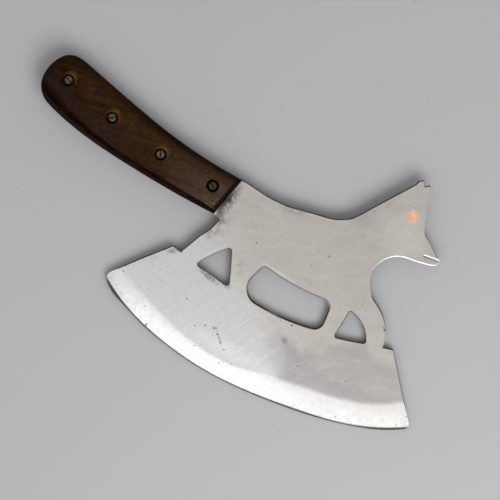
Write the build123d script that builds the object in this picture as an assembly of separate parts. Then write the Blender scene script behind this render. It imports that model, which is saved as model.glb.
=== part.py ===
from build123d import *
from build123d.topology import SkipClean
import os

# A hand-made cleaver whose blade is cut in the outline of an animal that stands on the chopping edge.
# It is drawn level, with X from heel to toe, Y up through the animal's back and Z out of the shown
# face, about the middle of the heel-to-toe line. The finished pieces are then laid down as they rest.

# Plate
plate_thickness = 3.0
edge_thickness = 0.5
edge_break = 0.55
bevel_width = 13.0
bevel_bulge = 0.15

# Chopping part
edge_length = 186.0
edge_drop = 22.6
heel_reach = 95.0
heel_rise = 1.0
toe_reach = 94.1
toe_drop = 0.5
rear_foot_reach = 67.9
rear_foot_height = 32.7
rear_step_width = 5.2
rear_step_drop = 1.2
front_foot_reach = 66.4
front_foot_height = 34.8
front_step_width = 5.9
front_step_drop = 1.3
foot_radius = 0.9
heel_radius = 4.4
toe_radius = 2.9

# Body and head of the animal. Each reach is from the middle of the edge; each setback, rise and drop
# on the head is from the landmark before it, from the snout to the brow, ears, nape and withers
throat_reach = 36.5
throat_height = 67.7
snout_reach = 67.2
snout_height = 90.5
snout_depth = 1.9
brow_setback = 12.2
brow_rise = 7.7
front_ear_setback = 11.1
front_ear_rise = 26.5
ear_cleft_setback = 2.3
ear_cleft_drop = 1.9
rear_ear_setback = 1.9
rear_ear_rise = 2.8
nape_setback = 3.1
nape_drop = 3.9
withers_setback = 21.9
withers_height = 90.9
ear_radius = 0.35
mouth_length = 9.3
mouth_gap = 0.8
mouth_chamfer = 0.5
mouth_angle = 7.5
eye_diameter = 7.3

# Pierced windows
rear_window_length = 23.6
rear_window_height = 22.5
finger_window_length = 47.5
finger_window_height = 22.1
front_window_length = 18.5
front_window_height = 18.9
small_window_radii = (1.8, 1.8, 1.8)
small_window_rim = 0.4
finger_window_radii = (10.0, 6.0, 5.0, 3.5)
finger_window_rim = 0.9

# Handle
tang_reach = 55.7
tang_height = 58.15
tang_lip_length = 4.1
tang_lip_drop = 1.15
handle_length = 116.8
handle_rise = 44.2
handle_front_width = 23.45
handle_front_slant = 6.0
handle_top_angle = 178.2
scale_thickness = 6.0
scale_crown_radius = 110.0
scale_edge_flat = 3.2
scale_edge_easing = 0.9
scale_front_chamfer = 2.6

# Screws and nuts
screw_diameter = 3.0
screw_gap = 0.05
screw_head_diameter = 4.8
screw_head_height = 1.6
screw_head_bevel = 0.45
screw_slot_width = 0.7
screw_slot_depth = 0.8
screw_slot_angles = (-21.0, 42.0, -56.0, -37.0)
nut_diameter = 5.8
nut_height = 1.6
nut_slot_angles = (15.0, -65.0, 80.0, -10.0)
counterbore_diameter = 6.8
counterbore_depth = 2.6
counterbore_chamfer = 0.35

# Lean on the floor, where the rear scale and the ground edge carry the cleaver
rest_pitch = 3.85
rest_roll = 0.77

# How far each cut runs past what it cuts
overrun = 4.0

# Outlines and places, as shares of the sizes that they follow
edge_shares = (
    (-0.4946, 0.066), (-0.474, 0.208), (-0.4285, 0.381), (-0.348, 0.633), (-0.267, 0.805),
    (-0.160, 0.951), (-0.025, 1.0), (0.109, 0.934), (0.2435, 0.792), (0.351, 0.588),
    (0.4317, 0.363), (0.4774, 0.168), (0.493, 0.088),
)
heel_side_shares = ((0.25, 0.24), (0.62, 0.597), (0.886, 0.877))
chest_shares = (
    (0.05, 0.155), (0.15, 0.31), (0.32, 0.452), (0.525, 0.56), (0.74, 0.66), (0.857, 0.777),
    (0.956, 0.896),
)
jaw_shares = (
    (0.065, 0.35), (0.21, 0.60), (0.36, 0.71), (0.61, 0.765), (0.77, 0.805), (0.90, 0.85),
    (0.98, 0.92),
)
face_shares = ((0.17, 0.08), (0.36, 0.29), (0.566, 0.545), (0.795, 0.82))
brow_shares = ((0.315, 0.181), (0.54, 0.434), (0.73, 0.687), (0.875, 0.912))
rear_ear_base_share = (0.81, 0.41)
neck_shares = ((0.25, 0.25), (0.5, 0.5), (0.75, 0.75))
back_shares = (
    (0.031, 0.215), (0.07, 0.376), (0.147, 0.634), (0.229, 0.763), (0.364, 0.925), (0.535, 1.15),
    (0.659, 1.204), (0.814, 1.13), (0.922, 1.02),
)
hind_leg_shares = ((0.05, 0.09), (0.20, 0.285), (0.51, 0.514), (0.73, 0.73), (0.874, 0.863))
handle_shares = (
    (0.462, 0.716), (0.830, 0.970), (0.884, 0.996), (0.961, 0.907), (0.998, 0.585), (0.924, 0.319),
    (0.803, 0.217), (0.593, 0.112), (0.165, 0.012),
)
grip_butt_share = (0.85, 0.56)
rear_window_place_share = (-0.2844, 0.734)
rear_window_corner_shares = ((0.0, 0.191), (0.985, 0.03), (0.614, 1.0))
rear_window_side_shares = ((0.46, 0.135), (0.778, 0.59), (0.242, 0.573))
front_window_place_share = (0.1774, 0.786)
front_window_corner_shares = ((0.0, 0.0), (1.0, 0.26), (0.085, 0.965))
front_window_side_shares = ((0.5, 0.12), (0.67, 0.73), (0.07, 0.545))
finger_window_place_share = (-0.1194, 0.700)
finger_window_corner_shares = ((-0.07, 0.10), (1.01, 0.13), (0.985, 0.955), (0.08, 1.025))
finger_window_side_shares = ((0.558, 0.0), (1.003, 0.55), (0.516, 0.91), (0.0, 0.56))
eye_place_share = (0.348, 0.715)
screw_place_shares = ((0.880, 0.691), (0.621, 0.516), (0.343, 0.374), (0.060, 0.308))
bevel_station_shares = (
    (0.0, 0.95), (0.126, 1.0), (0.232, 0.93), (0.348, 0.80), (0.473, 0.85), (0.6, 1.12),
    (0.724, 1.18), (0.869, 1.20), (1.0, 1.30),
)


def between(start, end, shares):
    """Points given as shares of the way from start to end, along X and along Y."""
    return [(start[0] + share_x * (end[0] - start[0]), start[1] + share_y * (end[1] - start[1]))
            for share_x, share_y in shares]


def in_box(corner, length, height, shares):
    """Points given as shares of a box that grows from its lower heel-side corner."""
    return [(corner[0] + share_x * length, corner[1] + share_y * height) for share_x, share_y in shares]


def in_handle(*shares):
    """Points given as shares of the handle's length and rise, from its lower front corner."""
    return in_box(tang_under, -handle_length, handle_rise, shares)


def on_chopper(share):
    """A point given as shares of the edge's length and of the rear foot's height."""
    return (share[0] * edge_length, share[1] * rear_foot_height)


# Landmarks of the outline; heel and toe are the corners before they are rounded
heel = (-heel_reach, heel_rise)
toe = (toe_reach, -toe_drop)
rear_foot = (-rear_foot_reach, rear_foot_height)
rear_ankle = (rear_step_width - rear_foot_reach, rear_foot_height - rear_step_drop)
front_foot = (front_foot_reach, front_foot_height)
front_ankle = (front_foot_reach - front_step_width, front_foot_height - front_step_drop)
throat = (throat_reach, throat_height)
chin = (snout_reach, snout_height - snout_depth)
snout = (snout_reach, snout_height)
brow = (snout_reach - brow_setback, snout_height + brow_rise)
front_ear = (brow[0] - front_ear_setback, brow[1] + front_ear_rise)
ear_cleft = (front_ear[0] - ear_cleft_setback, front_ear[1] - ear_cleft_drop)
rear_ear = (ear_cleft[0] - rear_ear_setback, ear_cleft[1] + rear_ear_rise)
nape = (rear_ear[0] - nape_setback, rear_ear[1] - nape_drop)
withers = (nape[0] - withers_setback, withers_height)
tang_under = (-tang_reach, tang_height)
tang_top = (handle_front_slant - tang_reach, tang_height + handle_front_width)
tang_lip = (tang_lip_length - tang_reach, tang_height - tang_lip_drop)
front_middle = ((tang_under[0] + tang_top[0]) / 2, (tang_under[1] + tang_top[1]) / 2)

# Heights in the stack of plate, scales and screws
plate_face = plate_thickness / 2
scale_face = plate_face + scale_thickness
head_seat = scale_face - counterbore_depth


def extruded(outline, low, high):
    """A solid that fills the closed outline between two heights."""
    return Pos(0, 0, low) * extrude(make_face(outline), amount=high - low)


def cutting_edge():
    """The curved edge, from heel to toe."""
    return Spline(heel, *in_box((0, 0), edge_length, -edge_drop, edge_shares), toe)


def chopper_outline():
    """From the heel along the edge to the toe and up to the front ankle."""
    return [cutting_edge(), Polyline(toe, front_foot, front_ankle)]


def head_outline():
    """From the front ankle up the chest and round the head to the nape."""
    chest = [*between(front_ankle, throat, chest_shares), throat, *between(throat, chin, jaw_shares)]
    face = [*between(snout, brow, face_shares), brow, *between(brow, front_ear, brow_shares)]
    ear_base = between(rear_ear, nape, [rear_ear_base_share])
    return [
        Spline(front_ankle, *chest, chin, snout),
        Spline(snout, *face, front_ear),
        Polyline(front_ear, ear_cleft, rear_ear, *ear_base, nape),
    ]


def handle_outline():
    """The handle's edge from the top of its front end, round the butt, to the bottom of that end.

    It is a chain of arcs, and each leaves in the direction in which the last one arrives.
    """
    points = [tang_top, *in_handle(*handle_shares), tang_under]
    direction = Vector(1, 0, 0).rotate(Axis.Z, handle_top_angle)
    arcs = []
    for start, end in zip(points, points[1:]):
        arcs.append(TangentArc(start, end, tangent=direction))
        direction = arcs[-1] % 1
    return arcs


def back_outline():
    """From the nape down the neck and along the back to the handle."""
    neck = between(nape, withers, neck_shares)
    back = between(withers, tang_top, back_shares)
    return [Spline(nape, *neck, withers, *back, tang_top)]


def rear_outline():
    """Down the front end of the handle, down the hind leg and along the heel side to the heel."""
    return [
        Polyline(tang_top, tang_under, tang_lip),
        Spline(tang_lip, *between(tang_lip, rear_ankle, hind_leg_shares), rear_ankle),
        Line(rear_ankle, rear_foot),
        Spline(rear_foot, *between(rear_foot, heel, heel_side_shares), heel),
    ]


def grip_outline():
    """The closed outline that the tang and both scales share."""
    return Curve() + [*handle_outline(), Line(tang_under, tang_top)]


def body_outline():
    """The plate without its tang: chopping part and animal."""
    return Curve() + [*chopper_outline(), *head_outline(), *back_outline(), *rear_outline()]


def rounded(solid, corners, radius):
    """The solid with its upright edges at the given corners rounded."""
    for corner in corners:
        solid = fillet(solid.edges().filter_by(Axis.Z).sort_by_distance((*corner, 0))[0], radius)
    return solid


def window(place_share, length, height, corner_shares, side_shares, radii, rim):
    """What is pierced out for one window: bowed sides, rounded corners and a sloping rim on each face."""
    corners = in_box(on_chopper(place_share), length, height, corner_shares)
    middles = in_box(on_chopper(place_share), length, height, side_shares)
    sides = [ThreePointArc(start, middle, end)
             for start, middle, end in zip(corners, middles, corners[1:] + corners[:1])]
    flare = extruded(Curve() + sides, plate_face - rim, plate_face + overrun)
    for corner, radius in zip(corners, radii):
        flare = rounded(flare, [corner], radius)
    flare = chamfer(flare.edges().group_by(Axis.Z)[0], rim)
    throat = extrude(flare.faces().sort_by(Axis.Z)[0], amount=2 * (plate_face - rim))
    return flare + throat + mirror(flare, about=Plane.XY)


def windows():
    """The three pierced windows: behind the hind leg, under the belly and before the front leg."""
    return [
        window(rear_window_place_share, rear_window_length, rear_window_height,
               rear_window_corner_shares, rear_window_side_shares, small_window_radii, small_window_rim),
        window(finger_window_place_share, finger_window_length, finger_window_height,
               finger_window_corner_shares, finger_window_side_shares, finger_window_radii,
               finger_window_rim),
        window(front_window_place_share, front_window_length, front_window_height,
               front_window_corner_shares, front_window_side_shares, small_window_radii,
               small_window_rim),
    ]


def bevel_section(edge, share, width):
    """One cross-section of what the grindstone takes off, at a place along the edge."""
    tip_height = edge_thickness / 2
    middle_height = (tip_height + plate_face) / 2 + bevel_bulge
    slope = (plate_face - tip_height) / width
    bulge_slope = 4 * bevel_bulge / width
    outer = (-overrun, tip_height - overrun * (slope + bulge_slope))
    tip = (0, tip_height)
    inner = (width, plate_face)
    end = (width + overrun, plate_face + overrun * (slope - bulge_slope))
    ceiling = plate_face + overrun
    outline = Curve() + [
        Line(outer, tip),
        ThreePointArc(tip, (width / 2, middle_height), inner),
        Polyline(inner, end, (end[0], ceiling), (-overrun, ceiling), outer),
    ]
    along = edge % share
    return Plane(origin=edge @ share, x_dir=(-along.Y, along.X, 0), z_dir=along) * make_face(outline)


def bevel():
    """What grinding takes off the shown face: a slightly rounded bevel whose width follows the edge."""
    edge = cutting_edge()
    sections = [bevel_section(edge, share, width_share * bevel_width)
                for share, width_share in bevel_station_shares]
    heel_end = Pos(edge % 0 * -overrun) * sections[0]
    toe_end = Pos(edge % 1 * overrun) * sections[-1]
    return loft([heel_end, *sections, toe_end])


def mouth():
    """The saw cut between the jaws and the filed slope along its lips on both faces."""
    slit = extrude(SlotOverall(2 * mouth_length, mouth_gap), amount=plate_face + overrun, both=True)
    lips = SlotOverall(2 * (mouth_length + mouth_chamfer), mouth_gap + 2 * mouth_chamfer)
    slope = extrude(Pos(0, 0, plate_face) * lips, amount=-mouth_chamfer, taper=45)
    cut = slit + slope + mirror(slope, about=Plane.XY)
    return Pos(snout_reach, snout_height - snout_depth / 2, 0) * Rot(0, 0, mouth_angle) * cut


def eye_place():
    """The middle of the eye, between nape and brow."""
    return Pos(*between(nape, brow, [eye_place_share])[0])


def screw_places():
    """The four places along the handle that the screws go through."""
    return [Pos(x, y, 0) for x, y in in_handle(*screw_place_shares)]


def upright(radius, low, high):
    """A round bar or hole between two heights."""
    return Pos(0, 0, (low + high) / 2) * Cylinder(radius, high - low)


def screw_hole():
    """The hole that passes a screw's shank through plate and scales."""
    return upright(screw_diameter / 2 + screw_gap, -scale_face - overrun, scale_face + overrun)


def make_body():
    """The plate without its tang, with rounded corners, broken edges and pierced windows."""
    body = extruded(body_outline(), -plate_face, plate_face)
    body = rounded(body, [heel], heel_radius)
    body = rounded(body, [toe], toe_radius)
    body = rounded(body, [rear_foot, front_foot, tang_lip], foot_radius)
    body = rounded(body, [ear_cleft, nape], ear_radius)
    rims = body.faces().filter_by(Axis.Z).edges()
    hidden = rims.sort_by_distance((*front_middle, plate_face))[0:2]
    body = chamfer([rim for rim in rims if rim not in hidden], edge_break)
    return body - windows()


def make_tang():
    """The part of the plate between the scales, with the holes for the screws."""
    tang = extruded(grip_outline(), -plate_face, plate_face)
    return tang - [place * screw_hole() for place in screw_places()]


def make_blade():
    """The steel plate: body with ground bevels, mouth and eye hole, and tang.

    The tang's faces aren't joined to the body's, so that each bare face is one that a flat thing fits.
    """
    body = make_body() - bevel() - mirror(bevel(), about=Plane.XY) - mouth()
    body -= eye_place() * upright(eye_diameter / 2, -plate_face - overrun, plate_face + overrun)
    with SkipClean():
        return body + make_tang()


def make_eye():
    """The copper pin through the head, filed flush with both faces."""
    return eye_place() * upright(eye_diameter / 2, -plate_face, plate_face)


def scale_crown():
    """The large round bar, lying along the grip, whose top gives the scale its shallow crown."""
    butt = in_handle(grip_butt_share)[0]
    along = Vector(*butt) - Vector(*front_middle)
    axis_height = scale_face - scale_crown_radius
    lying = Plane(origin=(*front_middle, axis_height), x_dir=(0, 0, 1), z_dir=along)
    return lying * Cylinder(scale_crown_radius, 4 * handle_length)


def crown_edges(scale):
    """The edges round a scale's crowned face, without the ellipse in which the front end cuts it."""
    return scale.faces().sort_by(Axis.Z)[-1].edges().filter_by(GeomType.ELLIPSE, reverse=True)


def front_end_slope():
    """What the chamfer takes off the front end of a scale."""
    along = Vector(*tang_top) - Vector(*tang_under)
    outward = along.cross(Vector(0, 0, 1)).normalized()
    far = scale_face + overrun
    outline = Polyline((-scale_front_chamfer - overrun, far),
                       (overrun, scale_face - scale_front_chamfer - overrun), (overrun, far), close=True)
    station = Plane(origin=front_middle, x_dir=outward, z_dir=-along)
    return extrude(station * make_face(outline), amount=handle_front_width, both=True)


def counterbore():
    """The flat-bottomed hole that a screw head or nut sinks in, its mouth slightly worn back."""
    radius = counterbore_diameter / 2
    bore = upright(radius, head_seat, scale_face + overrun)
    worn = Cone(radius, radius + 2 * counterbore_chamfer, 2 * counterbore_chamfer)
    return bore + Pos(0, 0, scale_face) * worn


def make_scale():
    """The wooden scale on the shown face."""
    scale = extruded(grip_outline(), plate_face, scale_face) & scale_crown()
    scale = chamfer(crown_edges(scale), scale_edge_flat)
    sides = scale.faces().filter_by(GeomType.CYLINDER).sort_by(Axis.Z)[:-1]
    side_tops = [side.edges().sort_by(Axis.Z)[-1] for side in sides]
    scale = chamfer([*crown_edges(scale), *side_tops], scale_edge_easing)
    scale -= front_end_slope()
    for place in screw_places():
        scale -= place * counterbore()
        scale -= place * screw_hole()
    return scale


def screwdriver_slot(diameter, top, angle):
    """The slot across a screw head or nut whose outer face is at the given height."""
    blade_width = diameter + overrun
    cut = Box(blade_width, screw_slot_width, 2 * screw_slot_depth)
    return Pos(0, 0, top) * Rot(0, 0, angle) * cut


def make_screw(place, slot_angle):
    """A slotted screw from its head in the front scale to the outer face of its nut."""
    top = head_seat + screw_head_height
    head = upright(screw_head_diameter / 2, head_seat, top)
    head = chamfer(head.edges().sort_by(Axis.Z)[-1], screw_head_bevel)
    shank = upright(screw_diameter / 2, -head_seat - nut_height, head_seat)
    return place * (head + shank - screwdriver_slot(screw_head_diameter, top, slot_angle))


def make_nut(place, slot_angle):
    """A round slotted nut on the end of a screw, in the rear scale."""
    low = -head_seat - nut_height
    nut = upright(nut_diameter / 2, low, -head_seat)
    return place * (nut - screw_hole() - screwdriver_slot(nut_diameter, low, slot_angle))


def make_pieces():
    """Every piece by name, in the level drawing frame."""
    scale = make_scale()
    pieces = {
        "blade": make_blade(),
        "eye_rivet": make_eye(),
        "front_scale": scale,
        "rear_scale": mirror(scale, about=Plane.XY),
    }
    for number, place in enumerate(screw_places(), 1):
        pieces[f"handle_screw_{number}"] = make_screw(place, screw_slot_angles[number - 1])
        pieces[f"screw_nut_{number}"] = make_nut(place, nut_slot_angles[number - 1])
    return pieces


def laid_down(pieces):
    """The pieces as they rest on the floor, with the origin under the middle of their shared box."""
    lean = Rot(rest_pitch, rest_roll, 0)
    leaning = {name: lean * piece for name, piece in pieces.items()}
    box = Compound(list(leaning.values())).bounding_box()
    to_origin = Pos(-box.center().X, -box.center().Y, -box.min.Z)
    return {name: to_origin * piece for name, piece in leaning.items()}


if __name__ == "__main__":
    os.makedirs("parts", exist_ok=True)
    for name, piece in laid_down(make_pieces()).items():
        export_step(piece, f"parts/{name}.step")
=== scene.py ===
import math
import bpy
from mathutils import Matrix, Vector


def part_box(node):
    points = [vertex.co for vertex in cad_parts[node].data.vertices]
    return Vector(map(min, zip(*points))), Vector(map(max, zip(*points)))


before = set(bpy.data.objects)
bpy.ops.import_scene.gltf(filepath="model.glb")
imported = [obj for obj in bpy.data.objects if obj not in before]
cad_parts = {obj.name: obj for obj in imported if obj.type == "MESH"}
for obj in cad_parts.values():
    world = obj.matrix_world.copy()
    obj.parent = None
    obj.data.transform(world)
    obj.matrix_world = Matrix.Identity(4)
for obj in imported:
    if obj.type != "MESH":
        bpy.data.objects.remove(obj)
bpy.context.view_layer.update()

# Camera: straight above, turned as the photograph is framed
CAMERA_PLACE = (0.0109, -0.0026, 0.95)
CAMERA_TURN = math.radians(26.33)
CAMERA_LENS = 123.5
SENSOR_WIDTH = 36.0

# Lights: the lean off the vertical and the turn from straight below in the picture, in degrees,
# the distance and the sizes in metres, and the power in watts
KEY = {"lean": 37.0, "turn": 32.0, "distance": 1.05, "width": 0.64, "depth": 0.64, "power": 7.9}
SOFT_BOX = {"lean": 32.0, "turn": -14.0, "distance": 1.30, "width": 1.30, "depth": 0.62,
            "power": 3.15}
SKY_COLOUR = (1.0, 1.0, 1.0, 1.0)
SKY_STRENGTH = 0.62

# Floor: its size in metres, its colour and its specks' colour, and the share of its colour that
# its darker clouds keep
FLOOR_SIZE = 4.0
FLOOR_COLOUR = (0.372, 0.369, 0.380)
FLOOR_SPECK = (0.25, 0.247, 0.25)
FLOOR_SHADE = 0.96
FLOOR_ROUGHNESS = 0.9

# Colours, linear
STEEL_COOL = (0.82, 0.815, 0.80)
STEEL_WARM = (0.71, 0.662, 0.61)
STEEL_HEAD = (0.83, 0.80, 0.73)
STEEL_BEVEL = (0.605, 0.603, 0.600)
STEEL_MAUVE = (0.455, 0.440, 0.440)
STEEL_GREY = (0.36, 0.345, 0.335)
STEEL_PIT = (0.055, 0.050, 0.047)
STEEL_HIGHLIGHT = (0.96, 0.95, 0.93)
STEEL_LINE = (0.025, 0.022, 0.020)
STEEL_WALL = (0.20, 0.19, 0.18)
STEEL_DARK = (0.050, 0.046, 0.043)
COPPER_LIGHT = (1.0, 0.67, 0.49)
COPPER_DARK = (0.92, 0.52, 0.36)
COPPER_EDGE = (0.76, 0.55, 0.43)
WOOD_DARK = (0.0095, 0.0032, 0.0010)
WOOD_MIDDLE = (0.0245, 0.0100, 0.0031)
WOOD_SHEEN = (0.0335, 0.0165, 0.0055)
WOOD_FRONT = (0.058, 0.0360, 0.0255)
WOOD_PURPLE = (0.0160, 0.0070, 0.0050)
WOOD_RIM = (0.0135, 0.0068, 0.0044)
WOOD_DEEP = (0.0014, 0.0006, 0.0004)
WOOD_END = (0.0125, 0.0058, 0.0042)
WOOD_EDGE_SHADE = (0.0026, 0.0009, 0.0005)
WOOD_LOWER = (0.0205, 0.0105, 0.0075)
WOOD_RED = (0.0200, 0.0042, 0.0022)
WOOD_CORNER_HIGHLIGHT = (0.10, 0.075, 0.052)
WOOD_GOLD = (0.060, 0.0330, 0.0130)
WOOD_ORANGE_HIGHLIGHT = (0.125, 0.0580, 0.0140)
SCREW_LIGHT = (0.20, 0.162, 0.105)
SCREW_DARK = (0.035, 0.025, 0.014)
SCREW_BROWN = (0.066, 0.038, 0.025)
SCREW_SLOT_SHADE = (0.010, 0.0065, 0.0040)
CLOUD_COLOURS = {"head": STEEL_HEAD, "mauve": STEEL_MAUVE, "worn": STEEL_HIGHLIGHT}

# The shaders' own settings, the same all over a surface
STEEL_METALLIC = 1.0
COPPER_METALLIC = 1.0
SCREW_METALLIC = 0.9
WOOD_SPECULAR = 0.018

# The plate's shown face: a point and its normal, in metres; and half the plate's thickness
FACE_POINT = Vector((0.02783, 0.01034, 0.00816))
FACE_NORMAL = Vector((0.01344, -0.06714, 0.99765))
HALF_PLATE = 0.0015

# Distances from the plate's middle plane, in metres: where the bevel's colour starts, where it is
# full and an edge's softening ends, where the cutting edge's dark line of painted shadow is full,
# and where a screw's slot gets painted shade, with the distances over which these two fade in
BEVEL_START = HALF_PLATE - 0.00005
SOFT_EDGE = 0.00132
EDGE_LINE = 0.00030
EDGE_FADE = 0.0001
SLOT_FLOOR = 0.00575
SLOT_FADE = 0.0005

# Steepness runs from 0 along the plate to 1 standing on it. Here and below, a range says where a
# mask is 0 and where it is 1
RIM_SLOPE = (0.10, 0.20)
WALL_SLOPE = (0.45, 0.80)
BEVEL_SLOPE = (0.10, 0.05)
# The share of a rim's slope that its hand-rounding takes off, and the same round the jaw
RIM_EASE = 0.60
JAW_EASE = 0.75
# The side the lights come from: rims facing it get a painted highlight, and those facing away
# painted shade
LIT_SIDE = (0.44, -0.90, 0.0)

# The line across the body at which cool steel turns warm: the shift and the turn that carry it to
# X = 0, how far it wanders from side to side, and the range of the change, in metres
BODY_SHIFT = (-0.0182, 0.0174, 0)
BODY_TURN = math.radians(-60.3)
BODY_SWAY = 0.030
BODY_BLEND = (-0.014, 0.014)
# How far wide marks stray from their ovals, in metres, and the half width over which a cloud does,
# in millimetres
STRAY = (0.03, 0.03, 0.0)
WIDE_CLOUD = 9.0

# Directions of strokes and scratches: turns about the vertical that bring them along X
STROKE_TURN = math.radians(-60)
RUB_TURN = math.radians(-20)
CROSS_TURN = math.radians(35)
FILED_TURN = 0.8

# The handle: its ends along X, and its long edges as powers of X, lowest power first, in metres
HANDLE_ENDS = (-0.1315, -0.0120)
LOWER_EDGE = (0.00742, 0.1104, 3.978, 40.8, 184.0)
UPPER_EDGE = (0.03043, 0.0599, 3.054, 9.24)
GRAIN_TURN = math.radians(-8.0)
# The range of their noise over which the pores open
OPEN_PORES = (0.56, 0.68)
# The range along X in which the screws turn brown
BROWN_SCREWS = (-0.045, -0.030)
# For each screw, the strength of the orange painted highlight round its hole, and the radius of
# its dark ring of painted shade; then the highlight's shift and radius, and the inner share of the
# rings; millimetres
SCREW_HOLES = {1: (0.85, 3.15), 2: (0.85, 3.15), 3: (0.85, 3.15), 4: (0.10, 3.70)}
HIGHLIGHT_SHIFT = (0.5, 1.5)
HIGHLIGHT_RADIUS = 4.9
RING_INNER = 0.86
# The copper that is bright inside its dull rim: its radius in millimetres, and its inner share
EYE_RADIUS = 3.65
EYE_INNER = 0.9

# Marks are ovals seen from above: x, y, turn, half length, half width and, where it is given, the
# inner share of the oval in which the mark is full; millimetres and degrees
# Round the jaw the rims' painted highlight is strongest; at the lip their painted shade is held off
JAW = (95.0, 31.0, 25.0, 31.0, 21.0, 0.6)
LIP = (102.0, 37.3, 4.5, 7.5, 1.9, 0.7)
HEEL = (-52.0, -47.0, -50.0, 34.0, 26.0, 0.0)
# Colour, then x, y, turn, half length, half width, strength and inner share
# Clouds in the highlight colour are painted highlights
CLOUDS = (
    ("head", 82.5, 42.0, 10.0, 21.0, 16.0, 0.9, 0.0),
    ("worn", 25.0, -57.5, -1.4, 36.0, 7.5, 0.8, 0.1),
    ("mauve", 92.0, -44.0, 7.0, 54.0, 22.0, 0.55, 0.65),
    ("mauve", 64.0, -46.0, -35.0, 17.0, 11.0, 0.55, 0.3),
    ("mauve", 93.0, -50.0, 8.0, 46.0, 9.5, 0.55, 0.3),
    ("mauve", 58.0, 40.0, -5.0, 18.0, 12.0, 0.35, 0.0),
    ("worn", 31.4, -6.9, -7.3, 15.0, 1.2, 0.7, 0.0),
    ("worn", -6.7, -11.7, 49.8, 9.0, 0.9, 0.5, 0.0),
    ("mauve", 52.0, -40.0, -35.0, 20.0, 11.0, 0.27, 0.0),
    # The next cloud is painted shadow in the notch below the handle's front end
    ("mauve", -12.0, 0.0, 58.0, 13.0, 8.5, 1.0, 0.2),
    ("mauve", 9.0, -13.6, -51.0, 9.0, 6.0, 0.5, 0.0),
    ("mauve", 45.7, -5.0, -7.0, 9.0, 4.0, 0.4, 0.0),
    ("mauve", 4.2, 19.5, -22.0, 8.0, 4.0, 0.4, 0.0),
    ("mauve", 21.6, 27.4, 11.0, 9.0, 3.0, 0.4, 0.0),
    ("mauve", 20.6, 27.6, 6.2, 26.0, 4.2, 0.8, 0.0),
    ("mauve", 63.8, 48.9, 57.3, 18.0, 4.0, 0.7, 0.0),
    ("mauve", -33.0, -25.8, 53.0, 15.0, 3.8, 0.7, 0.0),
    ("mauve", 20.8, -5.9, 22.0, 5.0, 2.0, 0.6, 0.0),
)
SMUDGES = (
    (-11.2, 16.0, 80.0, 15.5, 4.4), (-2.9, -25.4, -12.0, 10.0, 3.0), (7.6, -25.6, -4.0, 4.0, 2.6),
    (36.0, -27.6, -10.0, 11.0, 1.5), (50.5, -39.0, -35.0, 3.2, 2.2), (96.3, -8.7, -42.0, 2.2, 0.8),
    (-26.5, -21.6, 45.0, 5.0, 2.2), (-1.8, -25.0, -12.0, 4.5, 1.3), (17.0, -53.4, -43.0, 5.8, 0.45),
)
# Painted shadow, with some smudging, along the scale's front end
SCALE_SHADOW_AND_SMUDGE = (-13.0, 13.5, 79.0, 15.5, 3.6)
SCORES = (
    (31.3, -53.7, 58.0, 11.0, 0.9), (39.9, -39.0, 61.0, 12.0, 1.2), (39.8, -55.5, -31.0, 7.5, 0.7),
    (25.0, -42.0, 60.0, 14.0, 0.8), (46.0, -50.0, 62.0, 10.0, 0.8),
)
# The plate's openings, whose rims get painted shade: the oval round each and its strength, and the
# inner share of them all
OPENINGS = (
    ((41.3, -15.7, -3.0, 33.0, 17.0), 0.60), ((-0.4, -19.2, 0.0, 16.0, 16.0), 0.92),
    ((80.5, -17.1, 0.0, 14.0, 14.0), 0.92),
)
OPENING_INNER = 0.9
# Round pits: x, y and radius, and the inner share of them all
PITS = (
    (-46.6, -43.7, 0.7), (-8.2, -41.9, 0.7), (12.2, -49.9, 1.0), (13.3, -49.3, 0.7),
    (15.4, -52.1, 0.9), (17.1, -53.8, 0.6), (18.3, -55.0, 0.8), (19.0, -56.0, 0.6),
    (22.3, -58.2, 0.7), (7.2, -50.7, 0.8), (2.0, -53.3, 0.6), (12.4, 2.4, 0.7),
    (51.4, 13.7, 0.7), (45.0, 4.5, 0.5), (49.9, -29.5, 0.9), (43.4, -30.0, 0.5),
    (62.7, -48.0, 0.6), (96.9, -9.4, 0.9), (-22.2, -64.9, 1.1), (6.7, -63.4, 0.6),
    (23.2, -66.1, 0.6), (29.4, -63.5, 0.6), (94.1, -64.3, 0.6), (126.2, -53.2, 0.6),
    (127.2, -49.7, 0.5), (129.2, -46.9, 0.6),
)
PIT_INNER = 0.4
# On the wood: its browner middle, partly painted sheen, the dark front end and the painted
# highlight at the front corner
BROWN_SHEEN = ((-98.0, 34.0, -20.0, 24.0, 8.0), (-72.0, 28.0, -12.0, 34.0, 8.0))
DARK_END = (-12.6, 18.0, 79.0, 26.0, 3.2, 0.5)
HIGHLIT_CORNER = (
    (-18.0, 12.0, 80.0, 6.0, 0.8), (-20.5, 9.5, -8.0, 6.0, 0.7), (-21.5, 11.5, -14.0, 5.0, 0.5),
)


def feed(tree, socket, value):
    """Gives a socket its value: another node's output, or a number, vector or colour to keep."""
    if isinstance(value, bpy.types.NodeSocket):
        tree.links.new(value, socket)
    elif socket.type == "RGBA":
        socket.default_value = (*value, 1.0)
    else:
        socket.default_value = value


def add(tree, kind, feeds=None, **settings):
    """A new node with its settings; feeds holds the values of its sockets, by name or number."""
    made = tree.nodes.new(kind)
    for name, value in settings.items():
        setattr(made, name, value)
    for name, value in (feeds or {}).items():
        feed(tree, made.inputs[name], value)
    return made


def start_material(name):
    """An empty material, with its node tree, its shader and the place on the object in metres."""
    material = bpy.data.materials.new(name)
    material.use_nodes = True
    tree = material.node_tree
    tree.nodes.clear()
    shader = add(tree, "ShaderNodeBsdfPrincipled")
    add(tree, "ShaderNodeOutputMaterial", {"Surface": shader.outputs["BSDF"]})
    place = add(tree, "ShaderNodeTexCoord").outputs["Object"]
    return material, tree, shader, place


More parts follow.
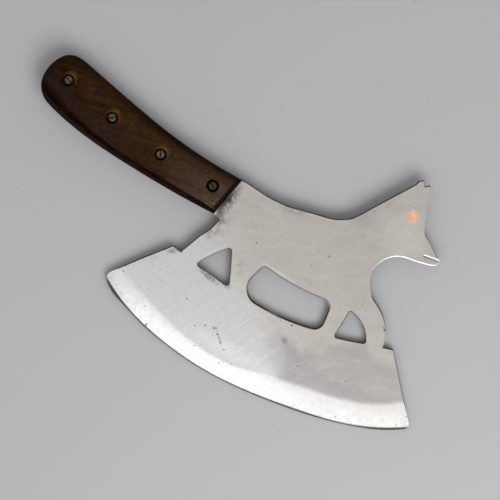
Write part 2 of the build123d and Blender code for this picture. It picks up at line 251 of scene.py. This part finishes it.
def give(tree, shader, colour, roughness, normal):
    """Links the three inputs that vary over a surface to its shader."""
    feed(tree, shader.inputs["Base Color"], colour)
    feed(tree, shader.inputs["Roughness"], roughness)
    feed(tree, shader.inputs["Normal"], normal)


def math_of(tree, operation, *values):
    """Numbers joined by a math operation."""
    return add(tree, "ShaderNodeMath", dict(enumerate(values)), operation=operation).outputs[0]


def vector_of(tree, operation, *values, output="Vector"):
    """Vectors joined by a math operation."""
    feeds = dict(enumerate(values))
    return add(tree, "ShaderNodeVectorMath", feeds, operation=operation).outputs[output]


def times(tree, first, *others):
    """The product of several values."""
    for value in others:
        first = math_of(tree, "MULTIPLY", first, value)
    return first


def weighted(tree, *pairs):
    """The sum of several values, each times its share."""
    total = times(tree, *pairs[0])
    for value, share in pairs[1:]:
        total = math_of(tree, "ADD", total, times(tree, value, share))
    return total


def either(tree, masks):
    """The strongest of several masks."""
    strongest = masks[0]
    for mask in masks[1:]:
        strongest = math_of(tree, "MAXIMUM", strongest, mask)
    return strongest


def swayed(tree, value, by, reach):
    """The value moved to and fro by a noise, over the given reach."""
    return math_of(tree, "ADD", value, math_of(tree, "MULTIPLY_ADD", by, reach, -reach / 2))


def spread(tree, value, low, high, to_low=0.0, to_high=1.0, straight=False):
    """The value with low..high carried to to_low..to_high, clamped, smoothly unless straight."""
    feeds = {"Value": value, "From Min": low, "From Max": high, "To Min": to_low, "To Max": to_high}
    kind = "LINEAR" if straight else "SMOOTHSTEP"
    return add(tree, "ShaderNodeMapRange", feeds, interpolation_type=kind).outputs[0]


def mixed(tree, factor, first, second):
    """Two colours mixed by a factor."""
    feeds = {0: factor, 6: first, 7: second}
    return add(tree, "ShaderNodeMix", feeds, data_type="RGBA").outputs[2]


def mixed_value(tree, factor, first, second):
    """Two numbers mixed by a factor."""
    feeds = {0: factor, 2: first, 3: second}
    return add(tree, "ShaderNodeMix", feeds, data_type="FLOAT").outputs[0]


def coat(tree, colour, paint, *masks):
    """The colour under a coat of paint, which is as strong as the product of its masks."""
    return mixed(tree, times(tree, *masks), colour, paint)


def turned(tree, place, angle, stretch):
    """The place turned about the vertical, and then stretched."""
    spun = add(tree, "ShaderNodeMapping", {"Vector": place, "Rotation": (0, 0, angle)}).outputs[0]
    return add(tree, "ShaderNodeMapping", {"Vector": spun, "Scale": stretch}).outputs[0]


def noise(tree, place, scale, detail=3.0, roughness=0.5, distortion=0.0, output="Fac"):
    """Soft noise with features of about 1 / scale metres."""
    feeds = {"Vector": place, "Scale": scale, "Detail": detail, "Roughness": roughness,
             "Distortion": distortion}
    return add(tree, "ShaderNodeTexNoise", feeds).outputs[output]


def streaks(tree, place, angle, along, across, detail, roughness, distortion=0.0):
    """Noise drawn out in one direction, with features of about 1 / along by 1 / across metres."""
    drawn = turned(tree, place, angle, (along, across, across))
    return noise(tree, drawn, 1.0, detail, roughness, distortion)


def scratches(tree, place, angle, along, across, low, high):
    """Thin straight scratches in one direction, as a mask."""
    return spread(tree, streaks(tree, place, angle, along, across, 2.0, 0.4), low, high)


def patch(tree, place, x, y, turn, length, width, inner=0.2):
    """A soft oval mark, as the tables of marks give it, at any height."""
    middle = (x / 1000, y / 1000, 0)
    feeds = {"Vector": place, "Location": middle, "Rotation": (0, 0, math.radians(turn)),
             "Scale": (length / 1000, width / 1000, 1000)}
    inside = add(tree, "ShaderNodeMapping", feeds, vector_type="TEXTURE").outputs[0]
    return spread(tree, vector_of(tree, "LENGTH", inside, output="Value"), 1.0, inner)


def spot(tree, place, x, y, radius, inner=0.2):
    """A soft round mark."""
    return patch(tree, place, x, y, 0, radius, radius, inner)


def middle_of(box):
    """The middle of a box seen from above, in millimetres."""
    low, high = box
    return [500 * (low[axis] + high[axis]) for axis in range(2)]


def bump(tree, height, depth, strength=1.0, normal=None):
    """A bump of the given depth in metres, on top of another where that one's normal is given."""
    feeds = {"Height": height, "Distance": depth, "Strength": strength}
    if normal is not None:
        feeds["Normal"] = normal
    return add(tree, "ShaderNodeBump", feeds).outputs[0]


def facing(tree, direction):
    """How much the surface faces a direction, from -1 to 1."""
    normal = add(tree, "ShaderNodeNewGeometry").outputs["True Normal"]
    return vector_of(tree, "DOT_PRODUCT", normal, direction, output="Value")


def off_middle(tree, place):
    """How far the place is from the plate's middle plane, on either side."""
    above = vector_of(tree, "DOT_PRODUCT", place, FACE_NORMAL, output="Value")
    level = FACE_POINT.dot(FACE_NORMAL) - HALF_PLATE
    return math_of(tree, "ABSOLUTE", math_of(tree, "SUBTRACT", above, level))


def steepness(tree):
    """0 where the surface lies along the plate, 1 where it stands on it."""
    flat = math_of(tree, "ABSOLUTE", facing(tree, FACE_NORMAL))
    return math_of(tree, "SUBTRACT", 1.0, flat)


def edge_softening(tree, half, steep, jaw):
    """A height in metres that rounds the start of the bevel and eases the steeper rims."""
    down = math_of(tree, "MAXIMUM", math_of(tree, "SUBTRACT", HALF_PLATE, half), 0.0)
    depth = HALF_PLATE - SOFT_EDGE
    low = math_of(tree, "MINIMUM", down, depth)
    rounded = math_of(tree, "SUBTRACT", low, times(tree, low, low, 0.5 / depth))
    eased = times(tree, down, spread(tree, jaw, 0.0, 1.0, RIM_EASE, JAW_EASE))
    return mixed_value(tree, spread(tree, steep, *RIM_SLOPE), rounded, eased)


def across_body(tree, place, wander):
    """How far the place is past the line at which cool steel turns warm, in metres."""
    moved = add(tree, "ShaderNodeMapping", {"Vector": place, "Location": BODY_SHIFT}).outputs[0]
    feeds = {"Vector": moved, "Rotation": (0, 0, BODY_TURN)}
    spun = add(tree, "ShaderNodeMapping", feeds).outputs[0]
    past = add(tree, "ShaderNodeSeparateXYZ", {0: spun}).outputs["X"]
    return swayed(tree, past, wander, BODY_SWAY)


def strayed_place(tree, place):
    """The place moved a little every way, so that the marks drawn with it lose their ovals."""
    way = noise(tree, place, 55.0, detail=4.0, output="Color")
    way = vector_of(tree, "SUBTRACT", way, (0.5, 0.5, 0.5))
    return vector_of(tree, "MULTIPLY_ADD", way, STRAY, place)


def cloud_steel(tree, place, strayed, colour, wander, mottle):
    """Clouds over the steel: large ones are ragged, small ones torn and the painted highlights
    whole.
    """
    ragged = math_of(tree, "ADD", wander, times(tree, mottle, 0.5))
    ragged = spread(tree, ragged, 0.45, 0.85, 0.85, 1.0)
    torn = spread(tree, noise(tree, place, 170.0, detail=4.0, roughness=0.65), 0.40, 0.62)
    for name, x, y, turn, length, width, strength, inner in CLOUDS:
        where, uneven = (strayed, ragged) if width > WIDE_CLOUD else (place, torn)
        uneven = 1.0 if name == "worn" else uneven
        cloud = patch(tree, where, x, y, turn, length, width, inner)
        colour = coat(tree, colour, CLOUD_COLOURS[name], cloud, strength, uneven)
    return colour


def brush_steel(tree, place, colour, across):
    """Broad polishing strokes: long on the cool side, rubbed another way on the warm side."""
    strokes = streaks(tree, place, STROKE_TURN, 55.0, 500.0, detail=4.0, roughness=0.65)
    rubbed = streaks(tree, place, RUB_TURN, 60.0, 160.0, detail=5.0, roughness=0.65)
    strokes = mixed_value(tree, spread(tree, across, *BODY_BLEND, 0.25, 0.9), strokes, rubbed)
    colour = coat(tree, colour, STEEL_GREY, spread(tree, strokes, 0.48, 0.75, to_high=0.17))
    return coat(tree, colour, STEEL_COOL, spread(tree, strokes, 0.52, 0.28, to_high=0.30))


def rim_steel(tree, place, colour, rims, jaw):
    """Rims with a painted highlight where they face the lit side, and painted shade round the
    openings and where they face away.
    """
    lit_facing = facing(tree, LIT_SIDE)
    worn = times(tree, spread(tree, lit_facing, 0.10, 0.35), spread(tree, jaw, 0.0, 1.0, 0.1, 1.0))
    # Painted highlight on the rims that face the lit side
    colour = coat(tree, colour, STEEL_HIGHLIGHT, rims, worn)
    # Painted shade on the rims that face away from the lit side, kept off the lip
    off_lip = spread(tree, patch(tree, place, *LIP), 0.0, 1.0, 1.0, 0.2)
    shaded = times(tree, spread(tree, lit_facing, 0.12, -0.15, to_high=0.75), off_lip)
    colour = coat(tree, colour, STEEL_WALL, rims, shaded)
    # Painted shade on the rims round the openings
    openings = [times(tree, patch(tree, place, *oval, OPENING_INNER), strength)
                for oval, strength in OPENINGS]
    colour = coat(tree, colour, STEEL_DARK, rims, either(tree, openings))
    # Darker painted shade on the rims that face furthest away
    away = times(tree, spread(tree, lit_facing, -0.10, -0.30), spread(tree, jaw, 0.0, 1.0, 0.97, 0.1))
    return coat(tree, colour, STEEL_DARK, rims, away)


def grind_steel(tree, place, colour, half, steep, mottle, grit):
    """The ground bevel, greyer and coarser towards the cutting edge, most of all at the heel."""
    bevel = spread(tree, half, BEVEL_START, SOFT_EDGE)
    bevel = times(tree, bevel, spread(tree, steep, *BEVEL_SLOPE))
    colour = coat(tree, colour, STEEL_BEVEL, bevel, 0.8)
    heel = times(tree, bevel, patch(tree, place, *HEEL))
    towards_edge = spread(tree, half, SOFT_EDGE, EDGE_LINE, 0.10, 0.60)
    colour = coat(tree, colour, STEEL_GREY, heel, towards_edge)
    coarse = spread(tree, weighted(tree, (mottle, 0.4), (grit, 0.6)), 0.45, 0.62)
    low = spread(tree, half, SOFT_EDGE, EDGE_LINE, 0.12, 0.50)
    low_at_heel = times(tree, heel, spread(tree, half, SOFT_EDGE, EDGE_LINE, to_high=0.4))
    return coat(tree, colour, STEEL_GREY, bevel, coarse, math_of(tree, "ADD", low, low_at_heel))


def steel():
    """Hand-filed, polished steel: cloudy, finely scratched, with pits and smudges, and painted
    light and shade on its rims, walls and cutting edge and beside the scale.
    """
    material, tree, shader, place = start_material("steel")
    half = off_middle(tree, place)
    steep = steepness(tree)
    rims = spread(tree, steep, *RIM_SLOPE)
    walls = spread(tree, steep, *WALL_SLOPE)
    jaw = patch(tree, place, *JAW)
    strayed = strayed_place(tree, place)
    wander = noise(tree, place, 30.0, detail=3.0, roughness=0.6)
    mottle = noise(tree, place, 260.0, detail=5.0, roughness=0.65)
    grit = noise(tree, place, 1500.0, detail=3.0, roughness=0.7)
    shade = weighted(tree, (mottle, 0.3), (grit, 0.7))

    across = across_body(tree, place, wander)
    colour = mixed(tree, spread(tree, across, *BODY_BLEND), STEEL_COOL, STEEL_WARM)
    colour = cloud_steel(tree, place, strayed, colour, wander, mottle)
    colour = brush_steel(tree, place, colour, across)
    colour = coat(tree, colour, STEEL_GREY, spread(tree, shade, 0.38, 0.66, to_high=0.28))
    fine = scratches(tree, place, STROKE_TURN, 60.0, 1600.0, 0.60, 0.80)
    cross = scratches(tree, place, CROSS_TURN, 80.0, 2200.0, 0.64, 0.80)
    lines = either(tree, [fine, cross])
    colour = coat(tree, colour, STEEL_GREY, lines, 0.12)
    scores = either(tree, [patch(tree, place, *score) for score in SCORES])
    colour = coat(tree, colour, STEEL_COOL, scores, 0.30)
    colour = rim_steel(tree, place, colour, rims, jaw)
    colour = grind_steel(tree, place, colour, half, steep, mottle, grit)

    broken = spread(tree, noise(tree, place, 680.0, detail=5.0, roughness=0.75), 0.42, 0.54)
    smudges = either(tree, [patch(tree, place, *smudge) for smudge in SMUDGES])
    colour = coat(tree, colour, STEEL_PIT, smudges, broken, 0.75)
    colour = coat(tree, colour, STEEL_GREY, smudges, 0.45)
    # Painted shadow, with some smudging, along the scale's front end
    colour = coat(tree, colour, STEEL_PIT, patch(tree, strayed, *SCALE_SHADOW_AND_SMUDGE), 0.92)
    specks = spread(tree, noise(tree, place, 420.0, detail=1.0, roughness=0.4), 0.76, 0.80)
    pits = either(tree, [spot(tree, place, *pit, PIT_INNER) for pit in PITS])
    pits = either(tree, [pits, times(tree, specks, 0.5)])
    colour = coat(tree, colour, STEEL_PIT, pits, 0.6)
    # Painted shade on the plate's steep walls
    colour = coat(tree, colour, STEEL_WALL, walls)
    # Painted shadow under the cutting edge, as a dark line
    edge = spread(tree, half, EDGE_LINE + EDGE_FADE, EDGE_LINE)
    colour = coat(tree, colour, STEEL_LINE, edge, 0.95)

    rough = times(tree, either(tree, [smudges, walls]), 0.15)
    rough = math_of(tree, "ADD", spread(tree, shade, 0.3, 0.7, 0.22, 0.28), rough)
    rounded = bump(tree, edge_softening(tree, half, steep, jaw), depth=1.0)
    rubbed = math_of(tree, "ADD", mottle, times(tree, grit, 0.3))
    ground = bump(tree, rubbed, depth=0.00001, strength=0.35, normal=rounded)
    marks = either(tree, [times(tree, lines, 0.5), scores, pits])
    height = math_of(tree, "SUBTRACT", 1.0, marks)
    marked = bump(tree, height, depth=0.00002, strength=0.5, normal=ground)
    give(tree, shader, colour, rough, marked)
    shader.inputs["Metallic"].default_value = STEEL_METALLIC
    return material


def power_sum(tree, x, shares):
    """The sum of the powers of x, by the given shares from the lowest power up."""
    total = shares[-1]
    for share in reversed(shares[:-1]):
        total = math_of(tree, "MULTIPLY_ADD", total, x, share)
    return total


def grain_wood(tree, place, along, inside_low, inside_high, grain, fibres, pores, patches):
    """The wood's colours: browner in the middle, partly painted sheen; greyer in front, a painted
    sheen; with pores, and flecks that are painted glints.
    """
    shade = weighted(tree, (grain, 0.45), (patches, 0.35), (fibres, 0.20))
    light = math_of(tree, "ADD", shade, spread(tree, along, 0.0, 0.45, -0.10, 0.05))
    colour = mixed(tree, spread(tree, light, 0.38, 0.55), WOOD_DARK, WOOD_MIDDLE)
    # The browner middle: partly the wood's own tone, partly painted sheen
    brown_sheen = either(tree, [patch(tree, place, *mark) for mark in BROWN_SHEEN])
    colour = coat(tree, colour, WOOD_SHEEN, brown_sheen, spread(tree, shade, 0.42, 0.60))
    blotches = noise(tree, place, 150.0, detail=4.0, roughness=0.6)
    colour = coat(tree, colour, WOOD_PURPLE, spread(tree, blotches, 0.50, 0.66, to_high=0.7))
    lower = spread(tree, inside_low, 0.020, 0.007)
    colour = coat(tree, colour, WOOD_LOWER, lower, spread(tree, along, 0.75, 0.35, 0.15, 0.8))
    # The grey towards the front is painted sheen
    greyed = spread(tree, along, 0.55, 0.95)
    greyed = times(tree, greyed, spread(tree, shade, 0.36, 0.56, 0.55, 1.0))
    off_edge = spread(tree, inside_high, 0.003, 0.012, 0.35, 1.0)
    colour = coat(tree, colour, WOOD_FRONT, greyed, off_edge)
    colour = coat(tree, colour, WOOD_DARK, spread(tree, pores, *OPEN_PORES, to_high=0.55))
    mottle = noise(tree, place, 520.0, detail=5.0, roughness=0.75)
    colour = coat(tree, colour, WOOD_DARK, spread(tree, mottle, 0.50, 0.64, to_high=0.45))
    colour = coat(tree, colour, WOOD_GOLD, spread(tree, mottle, 0.46, 0.34, to_high=0.28))
    # Golden flecks: painted glints along the grain
    flecks = spread(tree, noise(tree, place, 1100.0, detail=1.0), 0.70, 0.78)
    return coat(tree, colour, WOOD_ORANGE_HIGHLIGHT, flecks, 0.35)


def edge_wood(tree, colour, along, inside_low, inside_high, grain, patches):
    """Painted shade on the rounded edges: darker rims, a dark band along the lower edge and a
    softer line along the upper one.
    """
    depth = swayed(tree, inside_low, patches, 0.0016)
    # Painted shade on the rounded rims, below and above
    colour = coat(tree, colour, WOOD_RIM, spread(tree, depth, 0.0026, 0.0010))
    colour = coat(tree, colour, WOOD_RIM, spread(tree, inside_high, 0.0016, 0.0006, to_high=0.8))
    # The band of painted shade is wide at the butt, and a lighter strip stays outside it
    middle = spread(tree, along, 0.0, 1.0, 0.0037, 0.0019, straight=True)
    reach = spread(tree, along, 0.0, 0.45, 0.0066, 0.0018)
    out = math_of(tree, "DIVIDE", math_of(tree, "SUBTRACT", depth, middle), reach)
    below = spread(tree, math_of(tree, "SUBTRACT", middle, depth), 0.0022, 0.0004)
    band = times(tree, spread(tree, out, 1.0, 0.1), below)
    # Painted shade in a band along the rounded lower edge
    edge_shade = mixed(tree, spread(tree, grain, 0.50, 0.66), WOOD_EDGE_SHADE, WOOD_RED)
    colour = coat(tree, colour, edge_shade, band, 0.97)
    reddened = spread(tree, depth, 0.0034, 0.0022)
    reddened = times(tree, reddened, spread(tree, grain, 0.50, 0.60, to_high=0.65))
    colour = coat(tree, colour, WOOD_RED, reddened, spread(tree, along, 0.2, 0.5))
    # Painted shade along the rounded upper edge
    upper = spread(tree, inside_high, 0.0042, 0.0014)
    upper = times(tree, upper, spread(tree, along, 0.30, 0.60, 0.15, 0.65))
    return coat(tree, colour, WOOD_DEEP, upper, spread(tree, patches, 0.30, 0.55, 0.4, 1.0))


def end_wood(tree, place, colour, fibres):
    """The front end, dark, with a painted highlight at one corner."""
    end = spread(tree, facing(tree, (1, 0, 0)), 0.40, 0.60, to_high=0.9)
    colour = coat(tree, colour, WOOD_END, end)
    colour = coat(tree, colour, WOOD_DEEP, patch(tree, place, *DARK_END), 0.60)
    # Painted highlight along the front chamfer's inner edge and corner
    worn = either(tree, [patch(tree, place, *mark) for mark in HIGHLIT_CORNER])
    return coat(tree, colour, WOOD_CORNER_HIGHLIGHT, worn, spread(tree, fibres, 0.44, 0.56))


def light_and_shade_holes(tree, place, colour, fibres):
    """An orange painted highlight round each screw hole, and a dark ring of painted shade in it."""
    uneven = spread(tree, fibres, 0.35, 0.60, 0.5, 1.0)
    for number, (strength, radius) in SCREW_HOLES.items():
        x, y = middle_of(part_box(f"handle_screw_{number}"))
        # Painted highlight round the hole
        hole_highlight = spot(tree, place, x + HIGHLIGHT_SHIFT[0], y + HIGHLIGHT_SHIFT[1], HIGHLIGHT_RADIUS)
        colour = coat(tree, colour, WOOD_ORANGE_HIGHLIGHT, hole_highlight, strength, uneven)
        # Painted shade in the hole's counterbore
        colour = coat(tree, colour, WOOD_DEEP, spot(tree, place, x, y, radius, RING_INNER))
    return colour


def wood():
    """Very dark oiled hardwood, its grain along the handle, with painted shade on its edges and
    painted light and shade round its screw holes.
    """
    material, tree, shader, place = start_material("wood")
    axes = add(tree, "ShaderNodeSeparateXYZ", {0: place}).outputs
    along = spread(tree, axes["X"], *HANDLE_ENDS, straight=True)
    inside_low = math_of(tree, "SUBTRACT", axes["Y"], power_sum(tree, axes["X"], LOWER_EDGE))
    inside_high = math_of(tree, "SUBTRACT", power_sum(tree, axes["X"], UPPER_EDGE), axes["Y"])
    grain = streaks(tree, place, GRAIN_TURN, 26.0, 420.0,
                    detail=5.0, roughness=0.65, distortion=0.6)
    fibres = streaks(tree, place, GRAIN_TURN, 110.0, 1500.0, detail=3.0, roughness=0.6)
    pores = streaks(tree, place, GRAIN_TURN, 160.0, 3000.0, detail=2.0, roughness=0.5)
    patches = noise(tree, place, 60.0, detail=4.0, roughness=0.6)

    colour = grain_wood(tree, place, along, inside_low, inside_high, grain, fibres, pores, patches)
    colour = edge_wood(tree, colour, along, inside_low, inside_high, grain, patches)
    colour = end_wood(tree, place, colour, fibres)
    colour = light_and_shade_holes(tree, place, colour, fibres)

    creases = spread(tree, grain, 0.60, 0.66)
    creases = math_of(tree, "ADD", spread(tree, pores, *OPEN_PORES), creases)
    height = math_of(tree, "SUBTRACT", times(tree, fibres, 0.5), creases)
    normal = bump(tree, height, depth=0.00012, strength=0.6)
    give(tree, shader, colour, spread(tree, grain, 0.3, 0.7, 0.52, 0.40), normal)
    shader.inputs["Specular IOR Level"].default_value = WOOD_SPECULAR
    return material


def copper():
    """Bright filed copper with a dull rim."""
    material, tree, shader, place = start_material("copper")
    shade = noise(tree, place, 420.0, detail=4.0, roughness=0.6)
    lines = scratches(tree, place, FILED_TURN, 400.0, 5200.0, 0.55, 0.72)
    colour = mixed(tree, spread(tree, shade, 0.35, 0.65), COPPER_LIGHT, COPPER_DARK)
    x, y = middle_of(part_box("eye_rivet"))
    bright = spot(tree, place, x, y, EYE_RADIUS, EYE_INNER)
    colour = mixed(tree, bright, COPPER_EDGE, colour)
    height = math_of(tree, "SUBTRACT", shade, lines)
    normal = bump(tree, height, depth=0.00004, strength=0.5)
    give(tree, shader, colour, spread(tree, shade, 0.3, 0.7, 0.50, 0.40), normal)
    shader.inputs["Metallic"].default_value = COPPER_METALLIC
    return material


def screw_metal():
    """Dull brassy steel, browner at the front of the handle, with painted shade in the slots."""
    material, tree, shader, place = start_material("screw_metal")
    half = off_middle(tree, place)
    shade = noise(tree, place, 900.0, detail=4.0, roughness=0.65)
    colour = mixed(tree, spread(tree, shade, 0.35, 0.62), SCREW_DARK, SCREW_LIGHT)
    x = add(tree, "ShaderNodeSeparateXYZ", {0: place}).outputs["X"]
    colour = coat(tree, colour, SCREW_BROWN, spread(tree, x, *BROWN_SCREWS), 0.85)
    # Painted shade in the screws' slots
    slot_shade = spread(tree, half, SLOT_FLOOR + SLOT_FADE, SLOT_FLOOR)
    colour = coat(tree, colour, SCREW_SLOT_SHADE, slot_shade, 0.95)
    normal = bump(tree, shade, depth=0.00008, strength=0.7)
    give(tree, shader, colour, spread(tree, shade, 0.3, 0.7, 0.60, 0.38), normal)
    shader.inputs["Metallic"].default_value = SCREW_METALLIC
    return material


def paper():
    """The plain pale floor, with a few faint specks."""
    material, tree, shader, place = start_material("paper")
    shade = noise(tree, place, 6.0, detail=4.0, roughness=0.6)
    darker = tuple(FLOOR_SHADE * share for share in FLOOR_COLOUR)
    colour = mixed(tree, shade, darker, FLOOR_COLOUR)
    specks = spread(tree, noise(tree, place, 330.0, detail=2.0), 0.70, 0.76)
    feed(tree, shader.inputs["Base Color"], coat(tree, colour, FLOOR_SPECK, specks, 0.6))
    shader.inputs["Roughness"].default_value = FLOOR_ROUGHNESS
    return material


def dress(material, nodes):
    """Gives the material to CAD nodes."""
    for name in nodes:
        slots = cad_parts[name].data.materials
        slots.clear()
        slots.append(material)


def make_floor():
    """A large plain floor under the object."""
    bpy.ops.mesh.primitive_plane_add(size=FLOOR_SIZE)
    floor = bpy.context.object
    floor.name = "floor"
    floor.data.materials.append(paper())


def make_camera():
    """The camera, at the photograph's viewing angle."""
    data = bpy.data.cameras.new("camera")
    data.sensor_width = SENSOR_WIDTH
    data.lens = CAMERA_LENS
    camera = bpy.data.objects.new("camera", data)
    camera.location = CAMERA_PLACE
    camera.rotation_euler = (0, 0, CAMERA_TURN)
    bpy.context.scene.collection.objects.link(camera)
    bpy.context.scene.camera = camera


def make_light(name, lean, turn, distance, width, depth, power):
    """An area light that looks at the middle of the floor, its width across the picture."""
    data = bpy.data.lights.new(name, "AREA")
    data.shape = "RECTANGLE"
    data.size = width
    data.size_y = depth
    data.energy = power
    light = bpy.data.objects.new(name, data)
    in_picture = Matrix.Rotation(CAMERA_TURN + math.radians(turn), 4, "Z")
    leaned = in_picture @ Matrix.Rotation(math.radians(lean), 4, "X")
    light.matrix_world = leaned @ Matrix.Translation((0, 0, distance))
    bpy.context.scene.collection.objects.link(light)
    return light


def make_sky():
    """An even grey surrounding."""
    world = bpy.data.worlds.new("sky")
    world.use_nodes = True
    background = world.node_tree.nodes["Background"]
    background.inputs["Color"].default_value = SKY_COLOUR
    background.inputs["Strength"].default_value = SKY_STRENGTH
    bpy.context.scene.world = world


make_camera()
# The polished faces mirror the soft box and the sky, not the key light
make_light("key", **KEY).visible_glossy = False
make_light("soft_box", **SOFT_BOX)
make_sky()
make_floor()
dress(steel(), ["blade"])
dress(copper(), ["eye_rivet"])
dress(wood(), ["front_scale", "rear_scale"])
screws = [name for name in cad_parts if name.startswith(("handle_screw", "screw_nut"))]
dress(screw_metal(), screws)
bpy.context.scene.view_settings.view_transform = "Standard"
